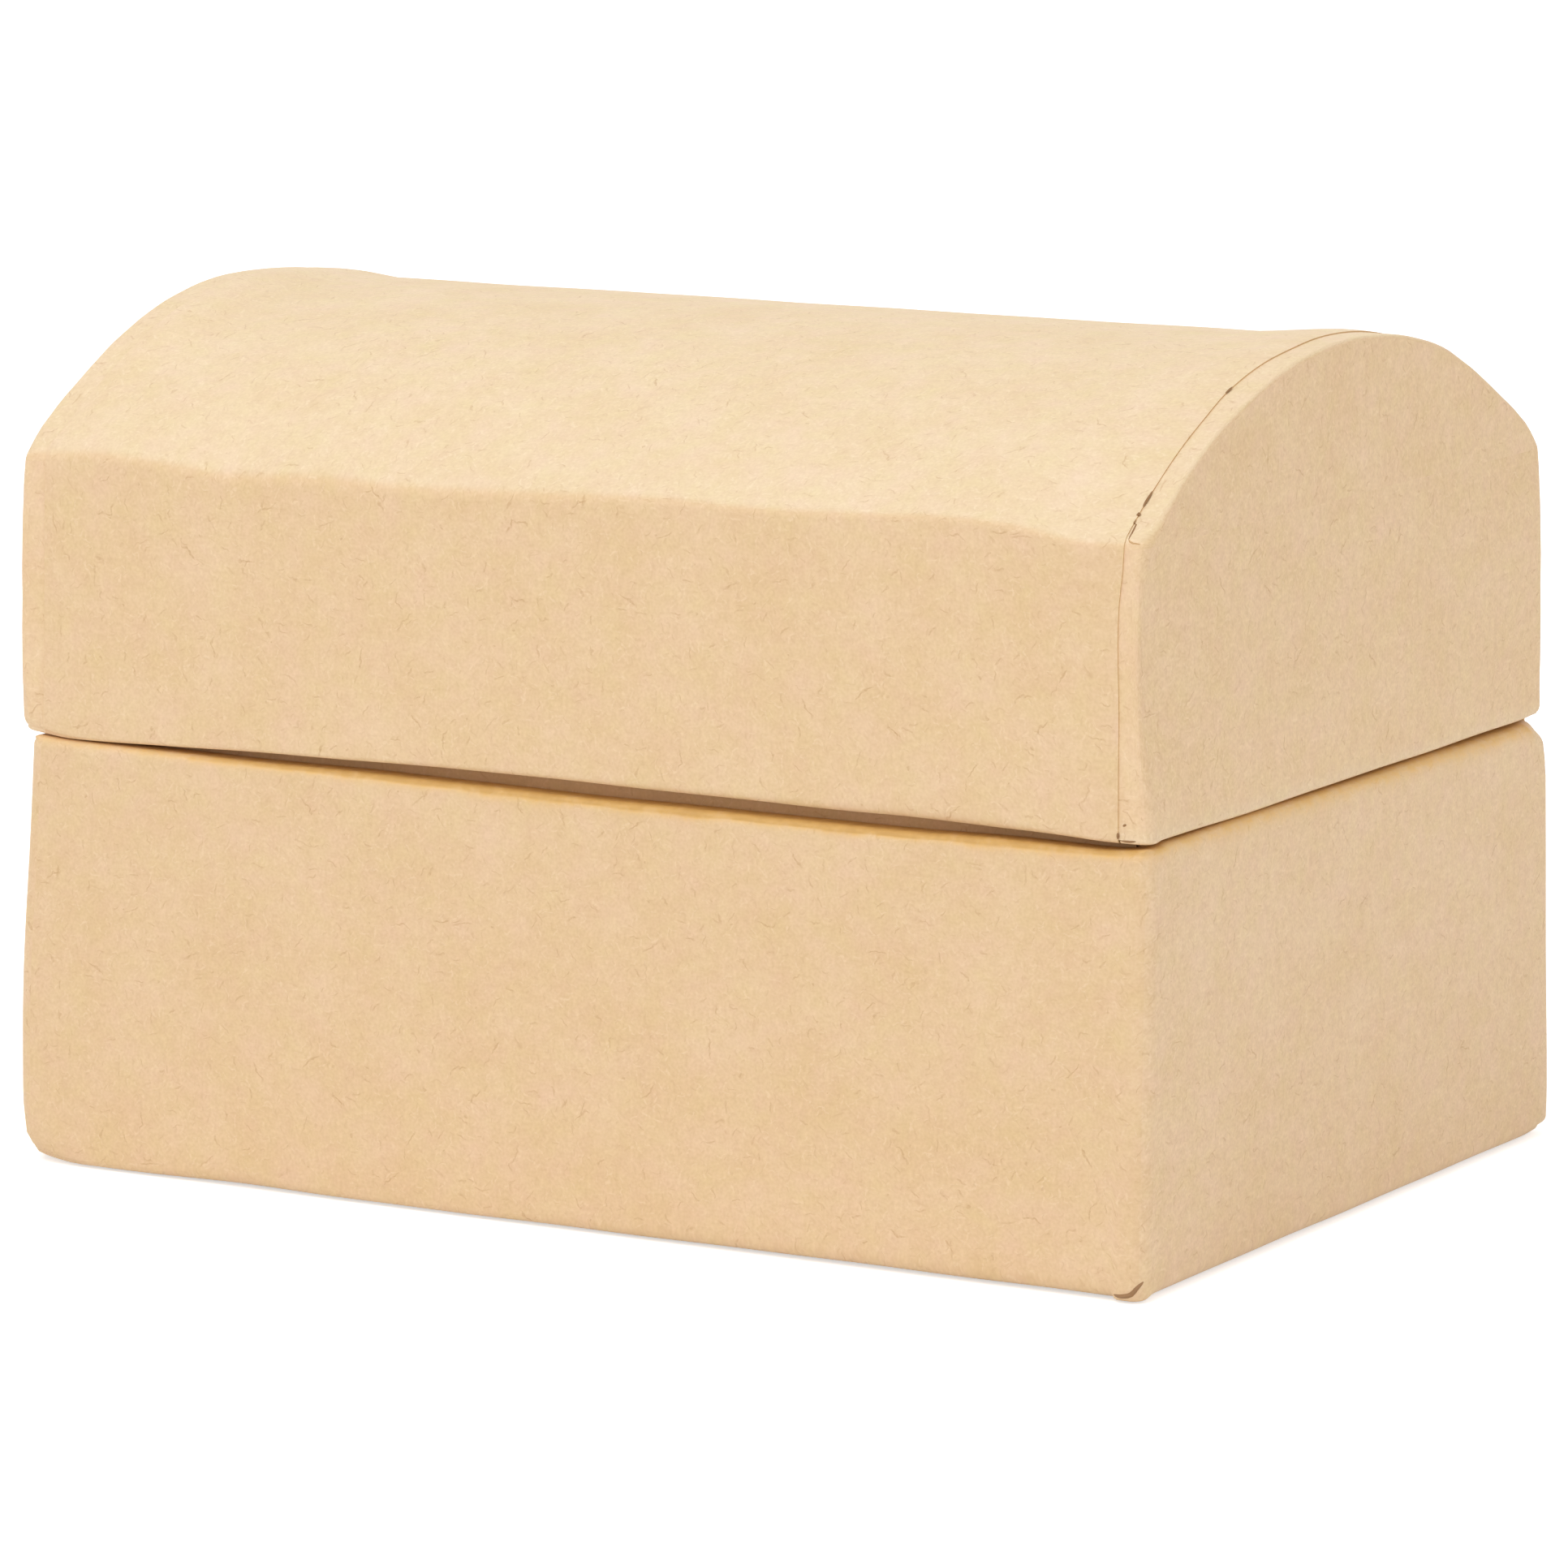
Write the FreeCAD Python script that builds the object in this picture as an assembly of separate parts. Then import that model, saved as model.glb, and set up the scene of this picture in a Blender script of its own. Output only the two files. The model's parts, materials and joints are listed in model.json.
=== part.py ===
import FreeCAD, Part
import math
import os

# A small treasure chest box of greyboard covered in kraft paper, in millimetres.
# X runs along the chest with +X at its right end, the front faces -Y, +Z is up, and the
# origin lies under the middle of the closed chest, on the surface that it stands on.

# Overall sizes of the closed chest, over its papers
chest_length = 121.0
chest_depth = 82.5
base_height = 41.2
lid_wall_height = 27.0
dome_rise = 13.0
rim_clearance = 0.3

# Boards
base_board = 2.5
lid_board = 1.5
neck_board = 1.2

# Papers
cover_paper = 0.25
lining_paper = 0.25
bottom_paper = 0.25
hinge_paper = 0.25
stay_paper = 0.1

# Rounded edges, measured over the paper
base_edge_radius = 2.0
bottom_edge_radius = 1.8
lid_edge_radius = 0.7
crease_radius = 2.5

# Bevel on the end edges of the lid's boards, under the rounded paper
lid_board_bevel = 0.5

# The front edges bow apart, so that a slit shows between the lid and the base
lid_edge_arch = 0.65
base_rim_sag = 0.65
bow_end_margin = 4.0

# Folded margins of the papers
base_turn_under = 10.0
bottom_sheet_margin = 3.0
lid_turn_in = 10.0
end_paper_turn_over = 12.0
seam_strip = 3.0
stay_width = 14.0
stay_end_margin = 3.0

# The neck that keeps the lid in place
neck_stand = 4.0
neck_slope_length = 12.0

# The paper hinge along the back
hinge_leaf_height = 18.0
hinge_end_margin = 3.0

# How far cutting shapes reach past what they cut, and how flat an edge counts as level
overrun = 5.0
level_tolerance = 0.05

# Derived sizes: the box lies in front of its hinge strip
box_depth = chest_depth - hinge_paper
half_length = chest_length / 2
half_depth = box_depth / 2
origin_shift = FreeCAD.Vector(0, -hinge_paper / 2, 0)

# Derived heights
wrap_underside = bottom_paper
floor_underside = wrap_underside + cover_paper
floor_top = floor_underside + base_board
lining_top = floor_top + lining_paper
lid_rim = base_height + rim_clearance
crease_height = lid_rim + lid_wall_height
crown_height = crease_height + dome_rise
turn_in_edge = lid_rim + lid_turn_in

# Derived dome: one arc from crease to crease, on the outermost paper
dome_radius = (half_depth ** 2 + dome_rise ** 2) / (2 * dome_rise)
dome_center_z = crown_height - dome_radius
crease_center_y = half_depth - crease_radius
crease_center_z = dome_center_z + math.sqrt((dome_radius - crease_radius) ** 2 - crease_center_y ** 2)

# Derived layers of the lid, counted inwards from its cover sheet
end_paper_layer = cover_paper
lid_board_layer = end_paper_layer + cover_paper
lid_lining_layer = lid_board_layer + lid_board
lid_inside_layer = lid_lining_layer + lining_paper
lid_board_end = half_length - cover_paper
lid_lining_end = lid_board_end - lid_board
lid_inside_end = lid_lining_end - lining_paper
seam_place = half_length - seam_strip

# Derived layers of the base, counted inwards from its wrap
base_board_layer = cover_paper
base_inner_layer = base_board_layer + base_board
base_inside_layer = base_inner_layer + cover_paper
base_inside_x = half_length - base_inside_layer
base_inside_y = half_depth - base_inside_layer


def block(low, high):
    """A box between two corners."""
    size = [top - bottom for bottom, top in zip(low, high)]
    return Part.makeBox(*size, FreeCAD.Vector(*low))


def on_plane(shape_edges, height):
    """The edges that lie flat at one height."""
    return [edge for edge in shape_edges if edge.BoundBox.ZLength < level_tolerance
            and abs(edge.CenterOfMass.z - height) < level_tolerance]


def upright(shape_edges):
    """The straight edges that stand up."""
    return [edge for edge in shape_edges if edge.BoundBox.XLength < level_tolerance
            and edge.BoundBox.YLength < level_tolerance]


def bow_cutter(edge_height, bow, layer):
    """A prism below or above one front edge, which hollows it into a shallow arc."""
    reach = half_length - base_inside_layer - bow_end_margin
    side = -1 if bow > 0 else 1
    left = FreeCAD.Vector(-reach, -half_depth - overrun, edge_height)
    right = FreeCAD.Vector(reach, left.y, edge_height)
    middle = FreeCAD.Vector(0, left.y, edge_height + bow)
    away = FreeCAD.Vector(0, 0, side * overrun)
    edges = [
        Part.Arc(left, middle, right).toShape(),
        Part.LineSegment(right, right + away).toShape(),
        Part.LineSegment(right + away, left + away).toShape(),
        Part.LineSegment(left + away, left).toShape(),
    ]
    through_wall = overrun + layer
    return Part.Face(Part.Wire(edges)).extrude(FreeCAD.Vector(0, through_wall, 0))


def base_envelope(inset):
    """The rounded block that one layer of the base fills, with the sagging front rim."""
    low = (-half_length + inset, -half_depth + inset, wrap_underside + inset)
    high = (half_length - inset, half_depth - inset, base_height - inset)
    shape = block(low, high)
    shape = shape.makeFillet(base_edge_radius - inset, upright(shape.Edges))
    shape = shape.makeFillet(bottom_edge_radius - inset, on_plane(shape.Edges, low[2]))
    return shape.cut(bow_cutter(base_height - inset, -base_rim_sag, base_inside_layer))


def base_hollow(layer):
    """The straight-sided space inside one layer of the base walls."""
    low = (-half_length + layer, -half_depth + layer, floor_top)
    high = (half_length - layer, half_depth - layer, base_height + overrun)
    return block(low, high)


def base_boards():
    """Floor and walls: the front and back run the full length, the ends fit between them."""
    shell = base_envelope(base_board_layer).cut(base_hollow(base_inner_layer))
    inner_x = half_length - base_inner_layer
    inner_y = half_depth - base_inner_layer
    outer_x = half_length + overrun
    outer_y = half_depth + overrun
    top = base_height + overrun
    zones = {
        "base_floor_board": ((-inner_x, -inner_y, -overrun), (inner_x, inner_y, top)),
        "base_front_board": ((-outer_x, -outer_y, -overrun), (outer_x, -inner_y, top)),
        "base_back_board": ((-outer_x, inner_y, -overrun), (outer_x, outer_y, top)),
        "base_left_board": ((-outer_x, -inner_y, -overrun), (-inner_x, inner_y, top)),
        "base_right_board": ((inner_x, -inner_y, -overrun), (outer_x, inner_y, top)),
    }
    boards = {name: shell.common(block(low, high)) for name, (low, high) in zones.items()}
    return shell, boards


def corner_stays():
    """Gummed paper angles round the four upright corners of the base boards."""
    skin = base_envelope(base_board_layer - stay_paper)
    skin = skin.cut(base_envelope(base_board_layer))
    bottom = floor_underside + bottom_edge_radius + stay_end_margin
    top = base_height - base_rim_sag - stay_end_margin
    stays = []
    for side_x in (-1, 1):
        for side_y in (-1, 1):
            xs = sorted((side_x * (half_length - stay_width), side_x * (half_length + overrun)))
            ys = sorted((side_y * (half_depth - stay_width), side_y * (half_depth + overrun)))
            stays.append(skin.common(block((xs[0], ys[0], bottom), (xs[1], ys[1], top))))
    return Part.makeCompound(stays)


def base_wrap(shell, stays):
    """The kraft sheet round the walls, over the rim, down inside and under the floor."""
    sheet = base_envelope(0).cut(base_hollow(base_inside_layer)).cut(shell)
    window_x = half_length - base_turn_under
    window_y = half_depth - base_turn_under
    window = block((-window_x, -window_y, 0), (window_x, window_y, floor_underside))
    return sheet.cut(window).cut(stays)


def bottom_sheet():
    """The sheet under the base, pressed up between the turned-under edges of the wrap."""
    sheet_x = half_length - bottom_edge_radius - bottom_sheet_margin
    sheet_y = half_depth - bottom_edge_radius - bottom_sheet_margin
    inner_x = half_length - base_turn_under
    inner_y = half_depth - base_turn_under
    sheet = block((-sheet_x, -sheet_y, 0), (sheet_x, sheet_y, wrap_underside))
    middle = block((-inner_x, -inner_y, 0), (inner_x, inner_y, floor_underside))
    return sheet.fuse(middle).removeSplitter()


def floor_lining():
    """The paper on the floor, which the neck stands on."""
    low = (-base_inside_x, -base_inside_y, floor_top)
    return block(low, (base_inside_x, base_inside_y, lining_top))


def neck_front():
    """The collar board inside the front wall, between the two side ones."""
    neck_x = base_inside_x - neck_board
    low = (-neck_x, -base_inside_y, lining_top)
    return block(low, (neck_x, -base_inside_y + neck_board, base_height + neck_stand))


def neck_side(side):
    """A collar board inside one end wall, its top sloping down to the rim at the back."""
    top = base_height + neck_stand
    points = [
        (-base_inside_y, lining_top),
        (base_inside_y, lining_top),
        (base_inside_y, base_height),
        (base_inside_y - neck_slope_length, top),
        (-base_inside_y, top),
    ]
    start_x = base_inside_x - neck_board if side > 0 else -base_inside_x
    corners = [FreeCAD.Vector(start_x, y, z) for y, z in points]
    face = Part.Face(Part.makePolygon(corners + corners[:1]))
    return face.extrude(FreeCAD.Vector(neck_board, 0, 0))


def hinge_leaf(bottom, top):
    """One half of the paper strip along the back, up to its fold."""
    leaf_x = half_length - hinge_end_margin
    return block((-leaf_x, half_depth, bottom), (leaf_x, half_depth + hinge_paper, top))


def lid_outline(layer, bottom):
    """The lid's closed end outline at one layer: walls, soft creases and the round top."""
    wall_y = half_depth - layer
    small = crease_radius - layer
    to_crease = math.atan2(crease_center_y, crease_center_z - dome_center_z)
    half_corner = (to_crease + math.pi / 2) / 2
    crown = FreeCAD.Vector(0, 0, dome_center_z + dome_radius - layer)

    def on_crease(side, angle):
        y = side * (crease_center_y + small * math.sin(angle))
        return FreeCAD.Vector(0, y, crease_center_z + small * math.cos(angle))

    corners = [FreeCAD.Vector(0, side * wall_y, bottom) for side in (-1, 1)]
    starts = [on_crease(side, math.pi / 2) for side in (-1, 1)]
    middles = [on_crease(side, half_corner) for side in (-1, 1)]
    ends = [on_crease(side, to_crease) for side in (-1, 1)]
    edges = [
        Part.LineSegment(corners[0], starts[0]).toShape(),
        Part.Arc(starts[0], middles[0], ends[0]).toShape(),
        Part.Arc(ends[0], crown, ends[1]).toShape(),
        Part.Arc(ends[1], middles[1], starts[1]).toShape(),
        Part.LineSegment(starts[1], corners[1]).toShape(),
        Part.LineSegment(corners[1], corners[0]).toShape(),
    ]
    return Part.Face(Part.Wire(edges))


def lid_prism(layer, end, bottom):
    """The lid's outline at one layer, run from end to end."""
    face = lid_outline(layer, bottom)
    face.translate(FreeCAD.Vector(-end, 0, 0))
    return face.extrude(FreeCAD.Vector(2 * end, 0, 0))


def end_edges(shape, bottom):
    """The edges round both ends of a lid prism, apart from those along its rim."""
    return [edge for edge in shape.Edges if edge.BoundBox.XLength < level_tolerance
            and edge.BoundBox.ZMax > bottom + level_tolerance]


def arched(shape, bottom):
    """A layer of the lid with its front edge hollowed upwards."""
    return shape.cut(bow_cutter(bottom, lid_edge_arch, lid_inside_layer))


def lid_hollow(layer, end):
    """The space inside one layer of the lid, open downwards."""
    return lid_prism(layer, end, lid_rim - overrun)


def slab(low_x, high_x, low_z, high_z):
    """A cutting block that spans the lid's depth."""
    reach = half_depth + overrun
    return block((low_x, -reach, low_z), (high_x, reach, high_z))


def lid_boards():
    """Two end boards with the round top, and the walls and curved top mitred between them."""
    board_rim = lid_rim + cover_paper
    shell = lid_prism(lid_board_layer, lid_board_end, board_rim)
    shell = shell.makeChamfer(lid_board_bevel, end_edges(shell, board_rim))
    shell = arched(shell, board_rim).cut(lid_hollow(lid_lining_layer, lid_lining_end))
    low = lid_rim - overrun
    high = crown_height + overrun
    outer = half_length + overrun
    middle = shell.common(slab(-lid_lining_end, lid_lining_end, low, high))
    to_crease = math.atan2(crease_center_y, crease_center_z - dome_center_z)
    mitre = (to_crease + math.pi / 2) / 2
    reach = crease_radius + overrun
    out_y = crease_center_y + reach * math.sin(mitre)
    out_z = crease_center_z + reach * math.cos(mitre)
    points = [
        (-crease_center_y, crease_center_z),
        (-out_y, out_z),
        (-out_y, high),
        (out_y, high),
        (out_y, out_z),
        (crease_center_y, crease_center_z),
    ]
    corners = [FreeCAD.Vector(-outer, y, z) for y, z in points]
    face = Part.Face(Part.makePolygon(corners + corners[:1]))
    above_mitres = face.extrude(FreeCAD.Vector(2 * outer, 0, 0))
    walls = sorted(middle.cut(above_mitres).Solids, key=lambda solid: solid.CenterOfMass.y)
    boards = {
        "lid_left_end_board": shell.common(slab(-outer, -lid_lining_end, low, high)),
        "lid_right_end_board": shell.common(slab(lid_lining_end, outer, low, high)),
        "lid_front_board": walls[0],
        "lid_back_board": walls[-1],
        "lid_dome_board": middle.common(above_mitres),
    }
    return shell, boards


def lid_linings():
    """The lining sheet under the top and walls, and one lining inside each end."""
    above = slab(-half_length, half_length, turn_in_edge, crown_height + overrun)
    sheet = lid_hollow(lid_lining_layer, lid_inside_end).cut(lid_hollow(lid_inside_layer, half_length))
    plates = lid_hollow(lid_lining_layer, lid_lining_end).common(above)
    high = crown_height + overrun
    left = plates.common(slab(-lid_lining_end, -lid_inside_end, turn_in_edge, high))
    right = plates.common(slab(lid_inside_end, lid_lining_end, turn_in_edge, high))
    return sheet.common(above), left, right


def end_paper(side, shell):
    """One end's paper: over the end, onto the walls and top, and turned in under the rim."""
    low = lid_rim - overrun
    high = crown_height + overrun
    skin = lid_prism(end_paper_layer, half_length, lid_rim)
    skin = arched(skin.makeFillet(lid_edge_radius, end_edges(skin, lid_rim)), lid_rim)
    xs = sorted((side * seam_place, side * (half_length + overrun)))
    over_end = skin.cut(shell).cut(lid_hollow(lid_lining_layer, lid_lining_end))
    over_end = over_end.common(slab(xs[0], xs[1], low, high))
    xs = sorted((side * (half_length - end_paper_turn_over), side * seam_place))
    turned_over = skin.cut(lid_hollow(lid_board_layer, half_length)).common(slab(xs[0], xs[1], low, high))
    xs = sorted((side * lid_inside_end, side * lid_lining_end))
    inside_y = half_depth - lid_inside_layer
    turned_in = block((xs[0], -inside_y, lid_rim), (xs[1], inside_y, turn_in_edge))
    return over_end.fuse(turned_over).fuse(turned_in).removeSplitter()


def cover_sheet(shell, end_papers):
    """The sheet over front, top and back, turned in under both edges and short of both ends."""
    sheet = arched(lid_prism(0, seam_place, lid_rim), lid_rim)
    sheet = sheet.cut(lid_hollow(lid_inside_layer, half_length))
    lining_space = lid_hollow(lid_lining_layer, half_length)
    lining_space = lining_space.common(slab(-half_length, half_length, turn_in_edge, crown_height))
    sheet = sheet.cut(shell).cut(lining_space)
    for paper in end_papers:
        sheet = sheet.cut(paper)
    return sheet


def all_parts():
    """Every node of the chest, by name."""
    base_shell, parts = base_boards()
    parts["base_corner_stays"] = corner_stays()
    parts["base_wrap"] = base_wrap(base_shell, parts["base_corner_stays"])
    parts["base_bottom_sheet"] = bottom_sheet()
    parts["base_floor_lining"] = floor_lining()
    parts["neck_front_board"] = neck_front()
    parts["neck_left_board"] = neck_side(-1)
    parts["neck_right_board"] = neck_side(1)
    parts["hinge_lower_leaf"] = hinge_leaf(base_height - hinge_leaf_height, base_height)
    lid_shell, boards = lid_boards()
    parts.update(boards)
    parts["lid_left_end_paper"] = end_paper(-1, lid_shell)
    parts["lid_right_end_paper"] = end_paper(1, lid_shell)
    papers = [parts["lid_left_end_paper"], parts["lid_right_end_paper"]]
    parts["lid_cover_sheet"] = cover_sheet(lid_shell, papers)
    names = ("lid_lining_sheet", "lid_left_end_lining", "lid_right_end_lining")
    parts.update(zip(names, lid_linings()))
    parts["hinge_upper_leaf"] = hinge_leaf(lid_rim, lid_rim + hinge_leaf_height)
    return parts


os.makedirs("parts", exist_ok=True)
for name, shape in all_parts().items():
    placed = shape.copy()
    placed.translate(origin_shift)
    placed.exportStep("parts/" + name + ".step")
    print(name, len(placed.Solids), "solids", round(placed.Volume, 1), "mm3, valid", placed.isValid())
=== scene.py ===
import json
import math

import bmesh
import bpy
import numpy as np
from mathutils import Matrix, Vector
from mathutils.bvhtree import BVHTree


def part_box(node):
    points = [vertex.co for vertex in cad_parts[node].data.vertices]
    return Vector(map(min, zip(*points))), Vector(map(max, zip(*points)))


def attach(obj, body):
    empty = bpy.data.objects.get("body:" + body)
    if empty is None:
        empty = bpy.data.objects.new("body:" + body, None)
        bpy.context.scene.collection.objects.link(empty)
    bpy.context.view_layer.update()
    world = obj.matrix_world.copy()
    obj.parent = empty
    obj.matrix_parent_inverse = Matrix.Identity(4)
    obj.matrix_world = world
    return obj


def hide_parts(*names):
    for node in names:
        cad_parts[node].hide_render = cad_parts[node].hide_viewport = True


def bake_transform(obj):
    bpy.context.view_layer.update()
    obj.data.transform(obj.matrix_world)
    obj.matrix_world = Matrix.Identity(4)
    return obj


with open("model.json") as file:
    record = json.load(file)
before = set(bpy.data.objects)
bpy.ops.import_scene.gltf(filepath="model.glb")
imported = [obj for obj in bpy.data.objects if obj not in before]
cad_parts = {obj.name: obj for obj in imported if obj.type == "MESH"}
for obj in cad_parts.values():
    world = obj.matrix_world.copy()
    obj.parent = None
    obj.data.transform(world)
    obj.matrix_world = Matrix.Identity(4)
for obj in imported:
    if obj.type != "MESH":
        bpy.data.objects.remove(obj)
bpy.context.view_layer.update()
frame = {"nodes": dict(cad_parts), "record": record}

# A kraft-paper treasure chest box round its packed boards. Lengths are in metres, or in mm where said.
MM = 0.001


def low(node):
    return np.array(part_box(node)[0])


def high(node):
    return np.array(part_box(node)[1])


# Sizes of the base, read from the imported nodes
half_length = high("base_wrap")[0]
front_face = low("base_wrap")[1]
back_face = high("base_wrap")[1]
middle_y = (front_face + back_face) / 2
half_depth = (back_face - front_face) / 2
wrap_underside = low("base_wrap")[2]
base_rim = high("base_wrap")[2]
lining_top = high("base_floor_lining")[2]
base_wall = half_length - high("base_floor_lining")[0]
paper = half_length - high("base_right_board")[0]
sheet_edge = high("base_bottom_sheet")[0]

# Sizes of the lid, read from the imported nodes
lid_rim = low("lid_cover_sheet")[2]
crown = high("lid_cover_sheet")[2]
turn_in_edge = low("lid_lining_sheet")[2]
seam_place = high("lid_cover_sheet")[0]
turn_over_edge = low("lid_right_end_paper")[0]
lid_inside_end = low("lid_right_end_lining")[0]
lining_half_depth = (high("lid_lining_sheet")[1] - low("lid_lining_sheet")[1]) / 2
lid_wall = half_depth - lining_half_depth + paper
end_wall = half_length - lid_inside_end

# The hinge strip, read from its two leaves
hinge_bottom = low("hinge_lower_leaf")[2]
hinge_top = high("hinge_upper_leaf")[2]
hinge_end = high("hinge_lower_leaf")[0]

# Sizes of the lid's outline that no box gives
lid_wall_height = 27.0 * MM
crease_height = lid_rim + lid_wall_height
dome_rise = crown - crease_height
dome_radius = (half_depth ** 2 + dome_rise ** 2) / (2 * dome_rise)
dome_centre_z = crown - dome_radius

# Corners of the boxes that the base and the lid fill
base_low = np.array((-half_length, front_face, wrap_underside))
base_high = np.array((half_length, back_face, base_rim))
lid_low = np.array((-half_length, front_face, lid_rim))
lid_high = np.array((half_length, back_face, 2 * crown))

# Rounded edges of the papers
base_corner_radius = 1.7 * MM
bottom_roundness = ((-1.0, 0.7), (-0.8, 0.7), (-0.6, 1.3), (-0.4, 0.9), (-0.2, 0.8), (0.1, 1.2), (1.0, 1.5))
lid_rim_radius = 0.34 * MM
rear_lid_rim_radius = 1.2 * MM
inner_rim_radius = 0.4 * MM
fold_radius = 0.12 * MM
crease_radius = 2.2 * MM

# The front crease is sharper over the right half: (share of half the length, radius in mm)
crease_roundness = ((-1.0, 2.2), (-0.3, 2.2), (0.4, 1.5), (0.75, 1.4), (0.9, 1.8), (1.0, 2.2))

# The lid's lower front edge is rounder there: (share of half the length, radius in mm)
front_rim_roundness = ((-1.0, 0.45), (-0.4, 0.45), (0.0, 0.65), (0.3, 0.8), (0.85, 0.8),
                       (0.95, 0.45), (1.0, 0.45))

# The end edges of the lid's walls are sharpest half way up: (share of the wall's height, radius in mm)
wall_end_roundness = ((0.0, 1.3), (0.15, 1.1), (0.35, 0.8), (0.8, 0.8), (0.92, 1.1), (1.0, 1.3))

# There the right end is pinched in beside the seam: (share of the wall's height, mm)
front_edge_pinch = ((0.0, 0.0), (0.12, 0.3), (0.3, 0.8), (0.8, 0.8), (0.93, 0.45), (1.0, 0.0))
pinch_reach = 8.0 * MM

# Those edges are sharper along the top, swollen at the crease and wavy: (radians a mm, start)
dome_end_radius = 0.4 * MM
crease_swell = 0.3 * MM
swell_reach = 2.2 * MM
edge_wobble = 0.03 * MM
edge_waves = ((1.3, 0.0), (0.71, 1.0))

# The base's rim is crushed to a round shoulder, more so towards the back
front_shoulder = 0.9 * MM
rear_shoulder = 1.5 * MM
shoulder_depth = 4.0 * MM

# Corners that are worn rounder: the side of X, Y and Z that each lies on, and its radius in mm
base_worn_corners = ((-1, -1, -1, 2.9), (1, 1, -1, 1.9), (-1, 1, -1, 2.8), (1, 1, 1, 3.0), (-1, -1, 1, 0.8))
lid_worn_corners = ((-1, -1, -1, 1.5), (1, 1, -1, 1.0), (-1, 1, -1, 1.6))
corner_reach = 5.5 * MM

# How far down the base's rim the painted shade and warm bounce light under the lid reach on the front, as
# (share of half the length, mm), and on the ends,
# and how that wavers: (share, radians a mm, start)
front_rim_shade_reach = ((-1.0, 0.35), (-0.7, 0.5), (-0.42, 0.6), (-0.1, 0.76), (0.1, 0.74), (0.46, 0.62),
                  (0.7, 0.64), (0.88, 0.78), (1.0, 0.72))
end_rim_shade_reach = 1.15 * MM
rim_shade_waves = ((0.12, 0.83, 0.0), (0.1, 0.37, 1.0))

# How strong that painted shade is there: (share of half the length, thousandths), and a share for the ends
front_rim_shade = ((-1.0, 300), (-0.75, 650), (-0.5, 900), (-0.3, 1000), (0.9, 1000), (1.0, 800))
end_rim_shade = 0.68
rim_shade_turn = 4.0 * MM

# Faces turned this far sideways are an end's, and faces turned this far up get painted top light
end_facing = 0.7
top_facing = 0.3
top_facing_ease = 0.4

# The tucked paper ear under the base's front right corner
ear_width = 3.3 * MM
ear_step = 0.5 * MM
ear_radius = 0.45 * MM
ear_drop = 0.05 * MM
ear_fade = 3.5 * MM

# How the walls of the glued box have pulled out of true: (share of the height, mm)
base_left_lean = ((0.0, -0.8), (0.35, -0.7), (0.7, 0.15), (1.0, 0.95))
base_right_lean = ((0.0, 0.1), (1.0, 0.3))
base_right_rear_lean = ((0.0, 0.35), (1.0, 0.6))
base_front_lean = ((0.0, -0.6), (1.0, 0.0))
base_back_lean = ((0.0, 2.3), (1.0, 0.2))
lid_left_lean = ((0.0, -0.5), (1.0, 0.22))
lid_right_lean = ((0.0, 0.03), (1.0, -0.5))
lid_front_lean = ((0.0, 0.3), (1.0, 0.45))
lid_back_lean = ((0.0, -0.1), (1.0, -0.3))
dome_end_lean = 0.7 * MM
dome_end_lean_rise = 8.0 * MM

# The front edges bow apart: (share of half the length, mm)
base_rim_sag = ((-1.0, 0.0), (-0.92, 0.2), (-0.85, 0.25), (-0.72, 0.38), (-0.64, 0.45), (-0.45, 0.47),
                (-0.19, 0.6), (0.07, 0.72), (0.33, 0.72), (0.6, 0.72), (0.73, 0.58), (0.86, 0.54),
                (0.93, 0.5), (1.0, 0.1))
lid_edge_arch = ((-1.0, -0.05), (-0.92, -0.35), (-0.85, -0.37), (-0.72, -0.14), (-0.6, 0.04),
                 (-0.45, 0.2), (-0.19, 0.45), (0.07, 0.34), (0.33, 0.24), (0.5, 0.15), (0.6, 0.2),
                 (0.73, 0.14), (0.86, 0.0), (0.94, -0.16), (1.0, -0.13))
rim_tilt = ((-1.0, 0.15), (0.0, 0.0), (1.0, -0.25))

# The bows die away from the edges, over shares of the walls' heights
sag_start_share = 0.3
sag_ease_share = 0.65
arch_fade_share = 5 / 7

# The lid's lower edge along its right end: (share of half the depth, mm)
lid_right_edge = ((-1.0, 0.0), (-0.6, -0.04), (0.0, 0.05), (0.4, 0.15), (0.8, 0.2), (1.0, 0.2))
board_bow = 0.65 * MM
board_bow_reach = half_length - base_wall - 4.0 * MM

# The front crease of the lid wanders up and down: (share of half the length, mm)
crease_wander = ((-1.0, 0.2), (-0.85, 0.4), (-0.68, -0.3), (-0.6, -0.7), (-0.48, -0.3), (-0.25, -0.5),
                 (0.0, -0.1), (0.17, 0.2), (0.35, -0.05), (0.52, 0.2), (0.69, 0.5), (0.78, 0.25),
                 (0.88, -0.3), (1.0, 0.1))
crease_wander_reach = 6.0 * MM
wander_start_share = 0.6
wander_ease_share = 0.25

# The round top is flatter behind and stands proud over its ends: (share of half the depth, mm)
left_end_dome = ((-1.0, -0.3), (-0.9, -0.25), (-0.77, 0.1), (-0.63, 0.65), (-0.5, 1.0),
                 (-0.23, 1.1), (0.0, 0.7), (0.3, 0.5), (1.0, 0.0))
right_end_dome = ((-1.0, -0.9), (-0.9, -0.7), (-0.7, -0.4), (-0.5, -0.1), (-0.3, 0.3), (-0.1, 0.5),
                  (0.1, 0.6), (0.35, 0.6), (0.48, 0.55), (0.61, 0.0), (0.7, -0.3), (1.0, -0.4))
middle_dome = ((-1.0, 0.0), (0.0, -0.1), (0.5, -0.2), (1.0, -0.6))
left_end_flat = 2.5 * MM
left_end_fall = 8.0 * MM
right_end_flat = 3.0 * MM
right_end_fall = 12.0 * MM

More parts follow.
